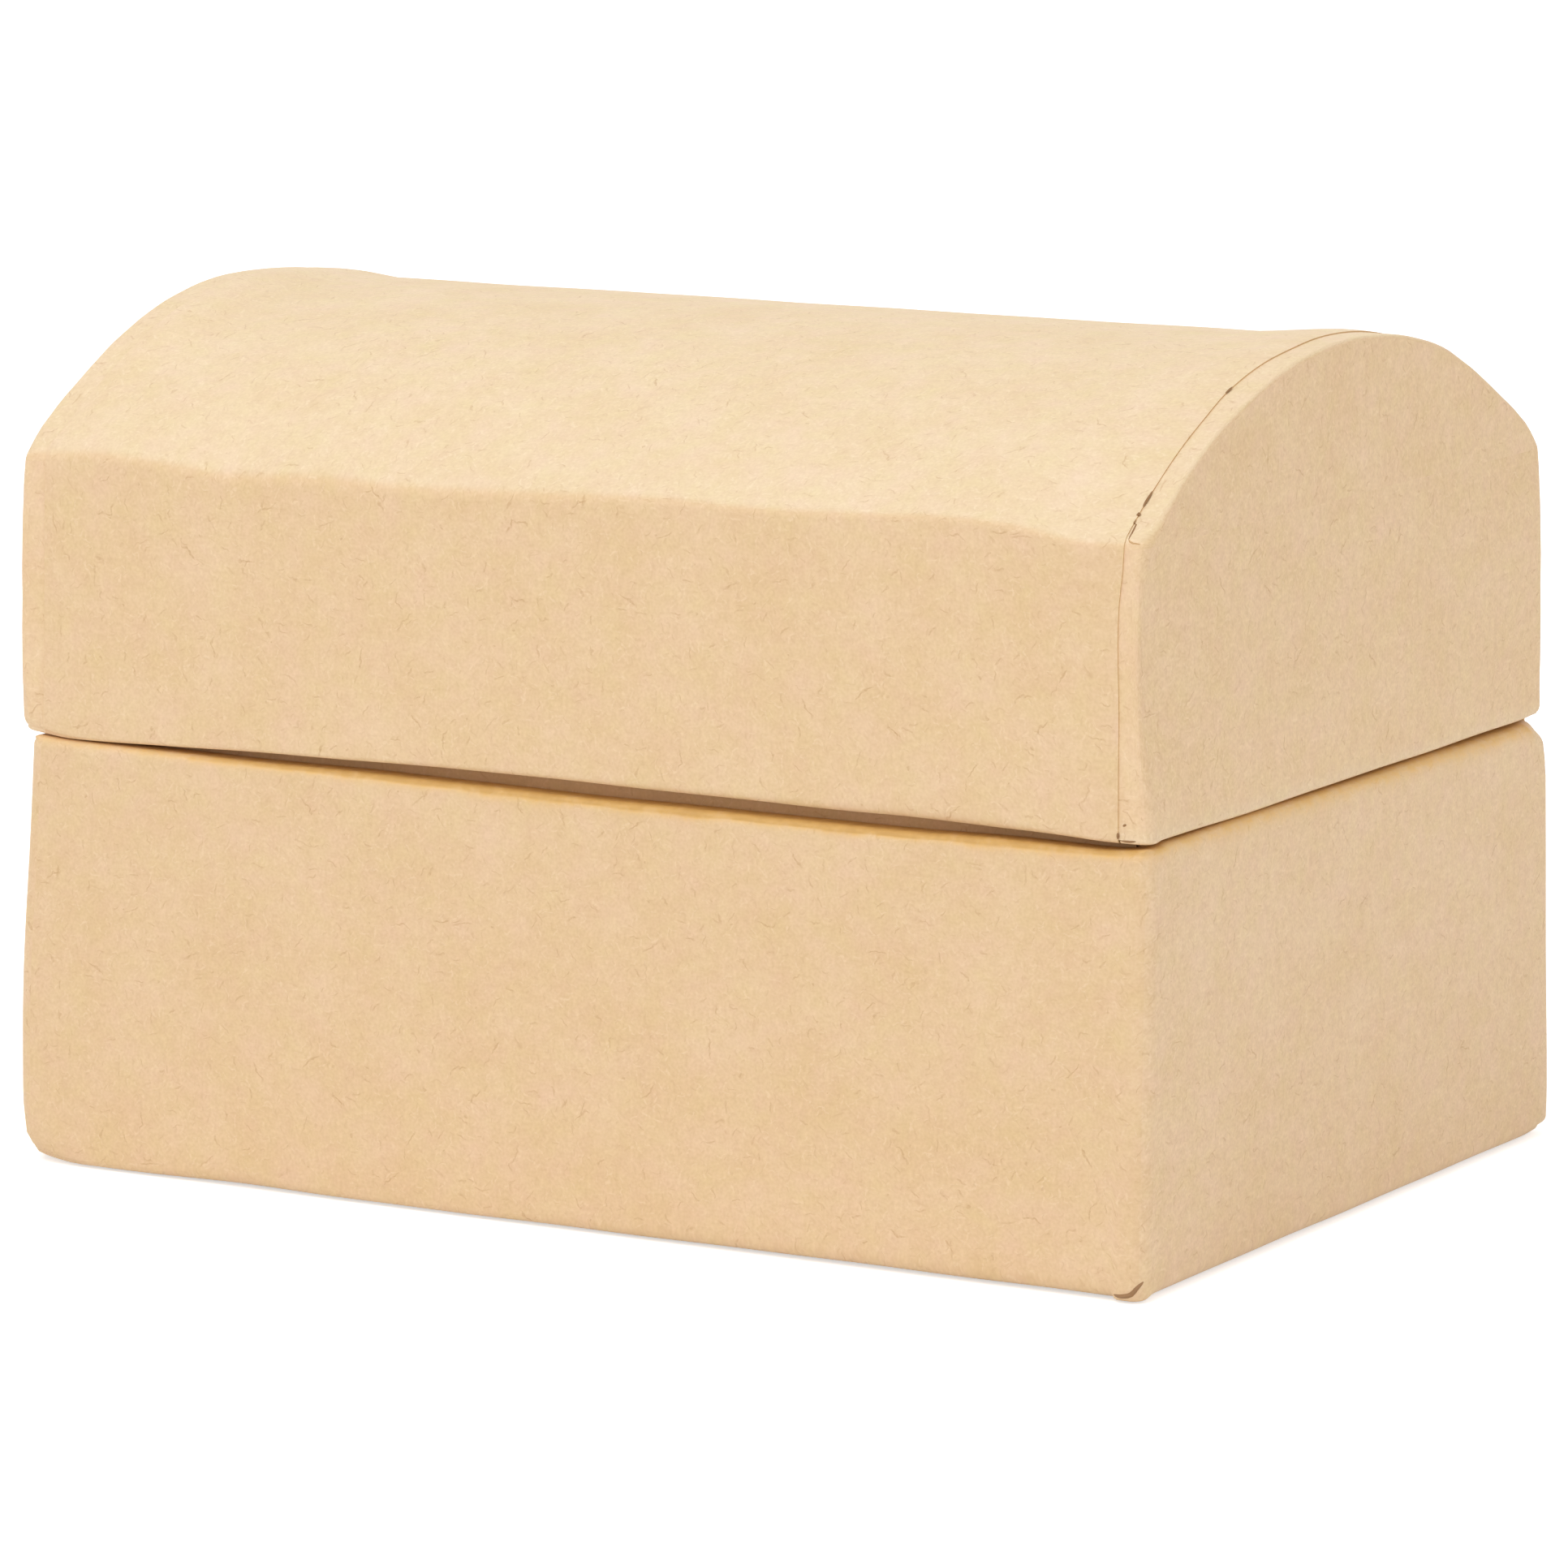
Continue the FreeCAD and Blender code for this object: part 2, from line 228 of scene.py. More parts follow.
# Faint waves in the pasted sheets: radians a mm along X, Y and Z, and a start
ripple_height = 0.05 * MM
ripple_waves = ((0.21, 0.17, 0.13, 0.0), (0.11, 0.19, -0.24, 2.0), (0.37, -0.33, 0.29, 4.0))

# The cover sheet's right edge wanders: (mm up from the front rim, mm towards the end)
seam_wander = ((0.0, -0.2), (13.0, 0.0), (22.0, 0.1), (26.5, 0.75), (31.0, 0.5), (38.0, 0.65),
               (43.0, 0.6), (48.0, 0.4), (52.0, 0.1), (56.0, 0.1), (60.0, 0.2), (65.0, 0.45),
               (71.0, 0.2), (76.0, 0.1), (150.0, 0.0))
seam_ease = 0.08
edge_press = 0.13 * MM
edge_press_reach = 0.03

# How the grids are cut: welded points, hard folds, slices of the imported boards, rows and columns
weld_reach = 0.002 * MM
paper_fold_angle = math.radians(50)
board_fold_angle = math.radians(30)
flat_angle = math.radians(0.3)
slice_length = 7.0 * MM
wall_rows = 22
wall_row_power = 1.6
corner_columns = 8
cover_columns = 121

# The hinge strip is cut finer near its fold, and bends within a shorter way of it
fold_zone = 2.0 * MM
fine_fold_zone = 1.8 * MM

# How far the base's wrap goes in under the bottom sheet
under_sheet = 3.0 * MM

# Colours of the papers and boards, as linear values
kraft_tone = (0.812, 0.566, 0.326)
base_tone = (0.80, 0.554, 0.318)
# The base's ends: the same sheet, painted a little lighter and bluer for the cooler light on its ends
base_end_cool_light_tone = (0.810, 0.569, 0.337)
strip_tone = (0.845, 0.590, 0.350)
lining_tone = (0.77, 0.55, 0.33)
card_tone = (0.645, 0.39, 0.183)
# Cut paper edges: browner than the paper and darkened further with painted shade; on the lid's walls the
# cover's edge takes the paler tone
edge_and_shade_tone = (0.64, 0.39, 0.185)
pale_edge_tone = (0.68, 0.49, 0.24)
# Painted top light: how far green and blue rise where paper faces up, and along the end papers' paler lower
# rim
top_light_and_pale_rim_spread = (0.0, 0.07, 0.15)
pale_rim_reach = 0.9 * MM
pale_rim_share = 0.7
# Painted shade of creases, nicks and tears, and of the seam's shadow
painted_shade_tone = (0.31, 0.16, 0.062)
# Painted warm bounce light and shade on the base's rim under the lid, and the darker painted shadow nearest
# the gap
warm_rim_shade_tone = (0.80, 0.47, 0.14)
dark_rim_shade_tone = (0.60, 0.33, 0.09)
board_tone = (0.42, 0.38, 0.33)
gummed_tone = (0.62, 0.45, 0.28)

# The camera, as the photo's corners place it
camera_eye = Vector((385.9 * MM, -661.9 * MM, 166.5 * MM))
camera_yaw = math.radians(30.27)
camera_pitch = math.radians(9.70)
camera_roll = math.radians(0.10)
camera_lens = 186.34
camera_sensor = 36.0


def smooth(share):
    """An easing from 0 to 1."""
    share = np.clip(share, 0, 1)
    return share * share * (3 - 2 * share)


def curve(pairs, at):
    """A smooth line through given (place, mm) pairs, in metres."""
    places, values = np.array(pairs).T
    slopes = np.gradient(values, places)
    at = np.clip(at, places[0], places[-1])
    k = np.clip(np.searchsorted(places, at) - 1, 0, len(places) - 2)
    step = places[k + 1] - places[k]
    t = (at - places[k]) / step
    start = (1 + 2 * t) * (1 - t) ** 2 * values[k] + t * (1 - t) ** 2 * step * slopes[k]
    end = t * t * (3 - 2 * t) * values[k + 1] + t * t * (t - 1) * step * slopes[k + 1]
    return (start + end) * MM


def sides(points):
    """Each point's place along and across the chest, from -1 at the left or front to 1."""
    along = np.clip(points[:, 0] / half_length, -1, 1)
    across = np.clip((points[:, 1] - middle_y) / half_depth, -1, 1)
    return along, across


def lean(points, height, left, right, right_rear, front, back):
    """Walls pulled out of true, each by its own curve over the height."""
    along, across = sides(points)
    right_side = curve(right, height) * (1 - across) / 2 + curve(right_rear, height) * (1 + across) / 2
    points[:, 0] += curve(left, height) * (1 - along) / 2 + right_side * (1 + along) / 2
    points[:, 1] += curve(front, height) * (1 - across) / 2 + curve(back, height) * (1 + across) / 2
    return points


def round_off(points, low_corner, high_corner, worn_corners, edge_radius=0.0):
    """Rounds a box's worn corners and edges, and the layers under them."""
    radius = np.zeros(len(points)) + edge_radius
    for *side, size in worn_corners:
        corner = np.where(np.array(side) < 0, low_corner, high_corner)
        near = np.exp(-(np.linalg.norm(points - corner, axis=1) / corner_reach) ** 2)
        radius = np.maximum(radius, size * MM * near)
    from_low = points - low_corner
    from_high = high_corner - points
    sunk = np.maximum(radius[:, None] - np.minimum(from_low, from_high), 0)
    length = np.maximum(np.linalg.norm(sunk, axis=1), 1e-9)
    pulled = sunk * (1 - sunk.max(axis=1) / length)[:, None]
    return points + np.where(from_low < from_high, pulled, -pulled)


def board_arc(points):
    """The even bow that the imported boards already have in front."""
    share = np.clip(np.abs(points[:, 0]) / board_bow_reach, 0, 1)
    return board_bow * (1 - share ** 2)


def in_ear(points):
    """How far each point lies in the tucked ear, from 0 to 1."""
    beside = smooth((points[:, 0] - half_length + ear_width) / ear_step)
    return beside * (1 - smooth((points[:, 1] - front_face) / ear_fade))


def shape_base(points, packed=False, wear_and_rim_shade=True):
    """Points of the base, moved from the true box to the glued-up one."""
    along, across = sides(points)
    height = np.clip(points[:, 2] / base_rim, 0, 1)
    in_front = points[:, 1] < front_face + base_wall + paper
    bowed = in_front * smooth((height - sag_start_share) / sag_ease_share)
    drop = curve(base_rim_sag, along) * bowed - curve(rim_tilt, along) * height
    drop += ear_drop * in_ear(points) * (1 - smooth(points[:, 2] / ear_width))
    if packed:
        points[:, 2] += board_arc(points) * bowed
    if wear_and_rim_shade:
        shoulder = front_shoulder + (rear_shoulder - front_shoulder) * (1 + across) / 2
        near_rim = smooth((points[:, 2] - base_rim + shoulder_depth) / (shoulder_depth / 2))
        points = round_off(points, base_low, base_high, base_worn_corners, shoulder * near_rim)
    points[:, 2] -= drop
    return lean(points, height, base_left_lean, base_right_lean, base_right_rear_lean,
                base_front_lean, base_back_lean)


def shape_lid(points, packed=False, wear_and_rim_shade=True):
    """Points of the lid, moved from the true shape to the glued-up one."""
    along, across = sides(points)
    height = np.clip((points[:, 2] - lid_rim) / lid_wall_height, 0, 1)
    arch = curve(lid_edge_arch, along) - (board_arc(points) if packed else 0)
    in_front = points[:, 1] < front_face + lid_wall + paper
    near_edge = smooth(1 - height / arch_fade_share)
    rise = arch * in_front * near_edge + curve(rim_tilt, along) * (1 - height)
    rise += curve(lid_right_edge, across) * (1 + along) / 2 * near_edge
    near_crease = np.exp(-((points[:, 2] - crease_height) / crease_wander_reach) ** 2)
    near_front = smooth((-across - wander_start_share) / wander_ease_share)
    rise += curve(crease_wander, along) * near_crease * near_front
    at_left = 1 - smooth((points[:, 0] + half_length - left_end_flat) / left_end_fall)
    at_right = 1 - smooth((half_length - points[:, 0] - right_end_flat) / right_end_fall)
    dome = curve(left_end_dome, across) * at_left + curve(right_end_dome, across) * at_right
    dome += curve(middle_dome, across) * (1 - at_left - at_right)
    rise += dome * smooth((points[:, 2] - crease_height + crease_radius) / (2 * crease_radius))
    beside_seam = np.clip((points[:, 0] - seam_place) / (half_length - seam_place), 0, 1)
    pinched = beside_seam * np.exp(-((points[:, 1] - front_face) / pinch_reach) ** 2)
    if wear_and_rim_shade:
        points = round_off(points, lid_low, lid_high, lid_worn_corners)
    points[:, 0] -= curve(front_edge_pinch, height) * pinched
    leaning = smooth((points[:, 2] - crease_height) / dome_end_lean_rise) * smooth(along) * (1 - across) / 2
    points[:, 0] -= dome_end_lean * leaning
    points[:, 2] += rise
    return lean(points, height, lid_left_lean, lid_right_lean, lid_right_lean,
                lid_front_lean, lid_back_lean)


def ripple(points):
    """Faint waves in a pasted sheet, between -1 and 1."""
    waves = [np.sin(points / MM @ np.array(turns) + start) for *turns, start in ripple_waves]
    return sum(waves) / len(waves)


class Patchwork:
    """Grids of points that join into one sheet, with a flat map of the paper in metres."""

    def __init__(self):
        self.points = []
        self.faces = []
        self.places = []

    def add(self, grid, across, along):
        """One grid of rows and columns, with the distances across and along the paper."""
        rows, columns = grid.shape[:2]
        first = len(self.points)
        self.points.extend(grid.reshape(-1, 3))
        across = np.broadcast_to(across, (rows, columns))
        along = np.broadcast_to(along, (rows, columns))
        for i in range(rows - 1):
            for j in range(columns - 1):
                corners = ((i, j), (i, j + 1), (i + 1, j + 1), (i + 1, j))
                self.faces.append([first + r * columns + c for r, c in corners])
                self.places.extend((across[r, c], along[r, c]) for r, c in corners)

    def mesh(self, name, outwards):
        """The joined sheet, one face thick, its faces turned outwards."""
        mesh = bpy.data.meshes.new(name)
        mesh.from_pydata([tuple(point) for point in self.points], [], self.faces)
        layer = mesh.uv_layers.new(name="paper")
        layer.uv.foreach_set("vector", np.array(self.places, np.float32).ravel())
        work = bmesh.new()
        work.from_mesh(mesh)
        bmesh.ops.remove_doubles(work, verts=work.verts, dist=weld_reach)
        bmesh.ops.dissolve_degenerate(work, edges=work.edges, dist=weld_reach)
        bmesh.ops.recalc_face_normals(work, faces=work.faces)
        outwards = Vector(outwards)
        furthest = max(work.faces, key=lambda face: face.calc_center_median().dot(outwards))
        if furthest.normal.dot(outwards) < 0:
            bmesh.ops.reverse_faces(work, faces=work.faces)
        work.to_mesh(mesh)
        work.free()
        return mesh


def move_points(mesh, shape, **settings):
    """Runs a mesh's points through one of the shaping functions."""
    points = np.zeros(len(mesh.vertices) * 3)
    mesh.vertices.foreach_get("co", points)
    points = shape(points.reshape(-1, 3), **settings)
    mesh.vertices.foreach_set("co", points.ravel())
    mesh.update()


def wave(mesh):
    """Lifts a sheet's points along their normals by its ripples."""
    normals = np.array([normal.vector for normal in mesh.vertex_normals])
    move_points(mesh, lambda points: points + normals * (ripple_height * ripple(points))[:, None])


def mark_sharp(mesh, angle):
    """Smooth faces, with hard edges where two faces meet at more than an angle."""
    work = bmesh.new()
    work.from_mesh(mesh)
    for face in work.faces:
        face.smooth = True
    for edge in work.edges:
        edge.smooth = len(edge.link_faces) == 2 and edge.calc_face_angle() < angle
    work.to_mesh(mesh)
    work.free()


def place(mesh, name, materials):
    """A new object for a mesh, with its materials."""
    mesh.name = name
    mesh.materials.clear()
    for material in materials:
        mesh.materials.append(material)
    piece = bpy.data.objects.new(name, mesh)
    bpy.context.scene.collection.objects.link(piece)
    return piece


def thickened(mesh, name, thickness, materials):
    """A closed sheet: the mesh is its outer face, and its cut edges take the second material."""
    piece = place(mesh, name, materials)
    solidify = piece.modifiers.new("thickness", "SOLIDIFY")
    solidify.thickness = thickness
    solidify.offset = -1
    solidify.use_even_offset = True
    solidify.material_offset_rim = 1
    bpy.context.view_layer.update()
    result = bpy.data.meshes.new_from_object(piece.evaluated_get(bpy.context.evaluated_depsgraph_get()))
    piece.modifiers.clear()
    piece.data = result
    mark_sharp(result, paper_fold_angle)
    return piece


node_slots = {part["node"]: part["material_slot"] for part in frame["record"]["subparts"]}


def settle(piece, body, *nodes):
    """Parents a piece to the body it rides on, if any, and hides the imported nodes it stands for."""
    if body:
        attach(piece, body)
    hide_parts(*nodes)


def link(tree, socket, value):
    """Sets a node's input, or links another node's output to it."""
    if isinstance(value, bpy.types.NodeSocket):
        tree.links.new(value, socket)
    else:
        socket.default_value = value


def node(tree, kind, inputs, **settings):
    """A new shader node, with its inputs set or linked."""
    made = tree.nodes.new(kind)
    for name, value in settings.items():
        setattr(made, name, value)
    for name, value in inputs.items():
        link(tree, made.inputs[name], value)
    return made


def maths(tree, operation, first, second=0.0):
    """A sum on two values."""
    return node(tree, "ShaderNodeMath", {0: first, 1: second}, operation=operation).outputs[0]


def vectors(tree, operation, first, second):
    """A sum on two vectors, or one scaled by a value."""
    inputs = {0: first, "Scale" if operation == "SCALE" else 1: second}
    return node(tree, "ShaderNodeVectorMath", inputs, operation=operation).outputs[0]


def ramp(tree, value, start, end, at_start, at_end):
    """An eased step from one value to another."""
    inputs = {"Value": value, "From Min": start, "From Max": end, "To Min": at_start, "To Max": at_end}
    return node(tree, "ShaderNodeMapRange", inputs, interpolation_type="SMOOTHSTEP").outputs[0]


def blend(tree, share, first, second, kind="MIX"):
    """A mix of two colours."""
    inputs = {0: share, 6: first, 7: second}
    return node(tree, "ShaderNodeMix", inputs, data_type="RGBA", blend_type=kind).outputs[2]


def shade(tone, factors):
    """A tone with each channel times its own factor."""
    return tuple(value * factor for value, factor in zip(tone, factors)) + (1.0,)


def tint(tree, colour, value, spread):
    """A colour whose channels fall and rise by their own shares as a value goes from 0 to 1."""
    deep = tuple(1 - share for share in spread) + (1.0,)
    pale = tuple(1 + share for share in spread) + (1.0,)
    return blend(tree, 1.0, colour, blend(tree, value, deep, pale), "MULTIPLY")


def noise(tree, where, size, roughness=0.6, output=0):
    """Cloudy noise with features of a given size in mm."""
    inputs = {"Vector": where, "Scale": 1 / size, "Detail": 2.0, "Roughness": roughness}
    return node(tree, "ShaderNodeTexNoise", inputs).outputs[output]


# Shares of a fibre's width and length that are solid, and how gradually some are left out
fibre_core = 0.2
fibre_body = 0.5
fibre_ease = 0.3


def strands(tree, where, cell, length, width, share, bend, shift):
    """Short curved fibres, at most one in each cell of the paper, as a mask."""
    scaled = vectors(tree, "SCALE", vectors(tree, "ADD", where, shift), 1 / cell)
    cells = node(tree, "ShaderNodeTexVoronoi", {"Vector": scaled, "Scale": 1.0}, voronoi_dimensions="2D")
    local = vectors(tree, "SUBTRACT", scaled, cells.outputs["Position"])
    chance = node(tree, "ShaderNodeSeparateColor", {0: cells.outputs["Color"]}).outputs
    angle = maths(tree, "MULTIPLY", chance[0], math.tau)
    turn = {"Vector": local, "Angle": angle}
    turned = node(tree, "ShaderNodeVectorRotate", turn, rotation_type="Z_AXIS").outputs[0]
    parts = node(tree, "ShaderNodeSeparateXYZ", {0: turned}).outputs
    bow = maths(tree, "MULTIPLY", maths(tree, "SUBTRACT", chance[1], 0.5), bend)
    bowed = maths(tree, "MULTIPLY", maths(tree, "MULTIPLY", parts[0], parts[0]), bow)
    beside = maths(tree, "ABSOLUTE", maths(tree, "ADD", parts[1], bowed))
    along = maths(tree, "ABSOLUTE", parts[0])
    half_width = width / cell / 2
    half_run = length / cell / 2
    thin = ramp(tree, beside, half_width * fibre_core, half_width, 1.0, 0.0)
    short = ramp(tree, along, half_run * fibre_body, half_run, 1.0, 0.0)
    there = ramp(tree, chance[2], 1 - share, 1 - share + fibre_ease, 0.0, 1.0)
    return maths(tree, "MULTIPLY", maths(tree, "MULTIPLY", thin, short), there)


# Layers of fibres: (cell, length, width in mm, share of cells, bend, shift) and strength
pale_fibres = (((1.7, 1.3, 0.26, 0.6, 1.0, (57, 23, 0)), 0.75),
               ((1.0, 0.8, 0.22, 0.7, 0.8, (7, 53, 0)), 0.65))
dark_fibres = (((1.0, 0.7, 0.22, 0.5, 0.8, (31, 17, 0)), 0.32),
               ((1.9, 1.2, 0.25, 0.5, 1.2, (93, 41, 0)), 0.55),
               ((4.6, 2.3, 0.26, 0.4, 2.0, (0, 0, 0)), 0.7),
               ((2.6, 0.35, 0.3, 0.3, 0.0, (71, 29, 0)), 0.65))

# Their tones, as factors on the paper's, and how far and over what distance they curl, in mm
pale_fibre_factors = (1.1, 1.16, 1.28)
dark_fibre_factors = (0.70, 0.56, 0.42)
curl_reach = 1.3
curl_size = 1.4

# Clouds in the pulp: sizes in mm, roughness, and how far red, green and blue swing
mottle_size = 9.0
mottle_roughness = 0.8
mottle_spread = (0.06, 0.09, 0.19)
pulp_size = 1.2
pulp_roughness = 1.0
pulp_spread = (0.10, 0.145, 0.20)
hue_size = 3.5
hue_spread = (0.025, -0.025, 0.11)
grain_size = 0.3
grain_spread = (0.04, 0.055, 0.09)
blotch_size = 2.0

# Eased steps in those clouds: from, to, and the values there
broken_fibres = (0.35, 0.6, 0.3, 1.0)
pulp_roughening = (0.3, 0.7, 0.52, 0.62)
# Blotches in the painted shade on the base's rim and in its darker painted shadow
blotchy_rim_shade = (0.3, 0.7, 0.65, 1.2)
pulpy_rim_shade = (0.3, 0.65, 0.7, 1.15)
dark_rim_shade_start = (0.5, 1.0, 0.0, 1.0)
blotchy_dark_rim_shade = (0.3, 0.65, 0.45, 0.9)

# The paper's tooth
tooth_strength = 0.3
tooth_height = 0.06 * MM


def curled(tree, where):
    """Places on the paper, pushed about so that the fibres drawn there curl."""
    cloud = noise(tree, where, curl_size, output="Color")
    push = vectors(tree, "SUBTRACT", cloud, (0.5, 0.5, 0.5))
    return vectors(tree, "ADD", where, vectors(tree, "SCALE", push, curl_reach))


def lay_fibres(tree, colour, tone, layers, where, share, strength):
    """A colour with layers of fibres of one tone over it, and the last layer's mask."""
    for sizes, layer_strength in layers:
        mask = maths(tree, "MULTIPLY", strands(tree, where, *sizes), share)
        colour = blend(tree, maths(tree, "MULTIPLY", mask, layer_strength * strength), colour, tone)
    return colour, mask


def painted_light_and_shade(tree, colour, where, pulp):
    """A paper's colour, paler under the painted top light, and warm and dark under the painted shade on the
    base's rim.
    """
    # Painted top light where the paper faces up, and the end papers' paler lower rim
    painted_top_light_and_pale_rim = node(tree, "ShaderNodeAttribute", {}, attribute_name="painted_top_light_and_pale_rim").outputs["Fac"]
    half_up = maths(tree, "ADD", maths(tree, "MULTIPLY", painted_top_light_and_pale_rim, 0.5), 0.5)
    colour = tint(tree, colour, half_up, top_light_and_pale_rim_spread)
    # Painted shade and warm bounce light under the lid's edge, darkest in blotches nearest the gap
    wear_and_rim_shade = node(tree, "ShaderNodeAttribute", {}, attribute_name="wear_and_rim_shade").outputs["Fac"]
    blotches = noise(tree, where, blotch_size)
    patchy_shade = maths(tree, "MULTIPLY", wear_and_rim_shade, ramp(tree, blotches, *blotchy_rim_shade))
    patchy_shade = maths(tree, "MULTIPLY", patchy_shade, ramp(tree, pulp, *pulpy_rim_shade))
    colour = blend(tree, maths(tree, "MINIMUM", patchy_shade, 1.0), colour, warm_rim_shade_tone + (1.0,))
    dark_shade_blotches = ramp(tree, blotches, *blotchy_dark_rim_shade)
    dark_shade = maths(tree, "MULTIPLY", ramp(tree, wear_and_rim_shade, *dark_rim_shade_start), dark_shade_blotches)
    return blend(tree, dark_shade, colour, dark_rim_shade_tone + (1.0,))


def kraft(name, tone, fibre_strength=1.0, cloud=1.0, sheen=0.5):
    """Matt kraft paper or board: mottled pulp, pale and brown fibres, painted top light and rim shade, a
    faint tooth.
    """
    material = bpy.data.materials.new(name)
    material.use_nodes = True
    tree = material.node_tree
    shader = tree.nodes["Principled BSDF"]
    flat = node(tree, "ShaderNodeUVMap", {}, uv_map="paper").outputs[0]
    where = vectors(tree, "SCALE", flat, 1 / MM)
    mottle = noise(tree, where, mottle_size, roughness=mottle_roughness)
    pulp = noise(tree, where, pulp_size, roughness=pulp_roughness)
    grain = noise(tree, where, grain_size)
    colour = tint(tree, tone + (1.0,), mottle, mottle_spread)
    colour = tint(tree, colour, pulp, [share * cloud for share in pulp_spread])
    colour = tint(tree, colour, noise(tree, where, hue_size), hue_spread)
    colour = tint(tree, colour, grain, grain_spread)
    lying = (curled(tree, where), ramp(tree, grain, *broken_fibres), fibre_strength)
    colour, tooth = lay_fibres(tree, colour, shade(tone, pale_fibre_factors), pale_fibres, *lying)
    colour, _ = lay_fibres(tree, colour, shade(tone, dark_fibre_factors), dark_fibres, *lying)
    colour = painted_light_and_shade(tree, colour, where, pulp)
    relief = maths(tree, "ADD", grain, maths(tree, "MULTIPLY", tooth, 0.5))
    bump = {"Height": relief, "Strength": tooth_strength, "Distance": tooth_height}
    link(tree, shader.inputs["Normal"], node(tree, "ShaderNodeBump", bump).outputs[0])
    link(tree, shader.inputs["Base Color"], colour)
    link(tree, shader.inputs["Roughness"], ramp(tree, pulp, *pulp_roughening))
    shader.inputs["Specular IOR Level"].default_value = sheen
    return material


cover = kraft("kraft_cover", kraft_tone, fibre_strength=0.85)
base_cover = kraft("kraft_base_cover", base_tone, fibre_strength=0.85)
base_end_cool_light_cover = kraft("kraft_base_end_cool_light", base_end_cool_light_tone, fibre_strength=0.9, cloud=1.5)
strip_cover = kraft("kraft_strip_cover", strip_tone, fibre_strength=0.85)
end_cover = kraft("kraft_end_cover", kraft_tone, fibre_strength=0.9, cloud=1.5)
# Cut edges: browner paper darkened with painted shade
cut_edge_and_shade = kraft("kraft_cut_edge_and_shade", edge_and_shade_tone)
pale_edge = kraft("kraft_pale_edge", pale_edge_tone)
# Dark ridges of painted shade in creases, tears and along the seam
painted_shade_mark = kraft("kraft_painted_shade_mark", painted_shade_tone)
surfaces = {
    "kraft_cover": cover,
    "kraft_lining": kraft("kraft_lining", lining_tone),
    "kraft_card": kraft("kraft_card", card_tone),
    "greyboard": kraft("greyboard", board_tone, fibre_strength=1.6, sheen=0.2),
    "gummed_paper": kraft("gummed_paper", gummed_tone),
}


def steps(start, end, count):
    """Evenly spaced values, without the first."""
    return list(np.linspace(start, end, count + 1)[1:])


def run_lengths(points):
    """Distances along rows of points, from the first row."""
    lengths = np.linalg.norm(np.diff(points, axis=0), axis=2)
    return np.concatenate([np.zeros((1, points.shape[1])), np.cumsum(lengths, axis=0)])


# Columns of the base's sheet along each wall, closer together at the tucked ear
front_columns = np.concatenate([np.linspace(-1, 0.94, 84), np.linspace(0.94, 1, 15)[1:]])
back_columns = np.linspace(-1, 1, 97)
side_columns = np.linspace(-1, 1, 67)
loop_columns = len(front_columns) + len(back_columns) + 2 * len(side_columns) + 4 * corner_columns


def rounded_loop(inset):
    """The base's outline from above, at one inset for each point, closed on itself."""
    quarter = np.linspace(0, math.pi / 2, corner_columns + 2)[1:-1]
    corner = np.maximum(base_corner_radius - inset, fold_radius)
    reach_x = half_length - inset - corner
    reach_y = half_depth - inset - corner
    shares = []
    for turn, side in enumerate((front_columns, side_columns, back_columns, side_columns)):
        shares += [(turn, share, 0.0) for share in side]
        shares += [(turn, 1.0, angle) for angle in quarter]
    points = []
    for k, (turn, share, angle) in enumerate(shares):
        middle = (reach_x[k], reach_y[k])
        run = middle[turn % 2]
        out = middle[1 - turn % 2]
        a = share * run + corner[k] * math.sin(angle)
        b = out + corner[k] * math.cos(angle)
        points.append(((a, -b), (b, a), (-a, b), (-b, -a))[turn])
    points.append(points[0])
    return np.array(points)


def store_painted_shading(mesh, name, amount):
    """Stores a painted shading share, from 0 to 1, at each point of a sheet."""
    layer = mesh.attributes.new(name, "FLOAT", "POINT")
    layer.data.foreach_set("value", np.array(amount, np.float32))


def paint_top_light_and_pale_rim(mesh, rim_share=0.0):
    """Painted top light: the paper is paler where it faces up, and also by a share along the lid's lower
    edge.
    """
    facing_up = np.array([normal.vector[2] for normal in mesh.vertex_normals])
    above_rim = np.array([corner.co[2] - lid_rim for corner in mesh.vertices])
    pale_rim = rim_share * np.exp(-(above_rim / pale_rim_reach) ** 2)
    store_painted_shading(mesh, "painted_top_light_and_pale_rim", np.maximum(smooth((facing_up - top_facing) / top_facing_ease), pale_rim))


def painted_rim_shade(points):
    """Painted shade and warm bounce light on the base's rim under the lid's edge, along its front and ends.
    """
    along, _ = sides(points)
    on_end = smooth((points[:, 1] - front_face) / rim_shade_turn)
    on_end *= np.abs(points[:, 0]) > half_length - base_wall
    shade_strength = curve(front_rim_shade, along) * (1 - on_end) + end_rim_shade * on_end
    reach = curve(front_rim_shade_reach, along) * (1 - on_end) + end_rim_shade_reach * on_end
    round_rim = (points[:, 0] - points[:, 1]) / MM
    reach *= 1 + sum(share * np.sin(turn * round_rim + start) for share, turn, start in rim_shade_waves)
    before_back = points[:, 1] < back_face - base_wall
    return shade_strength * before_back * np.exp(-((points[:, 2] - base_rim) / reach) ** 2)


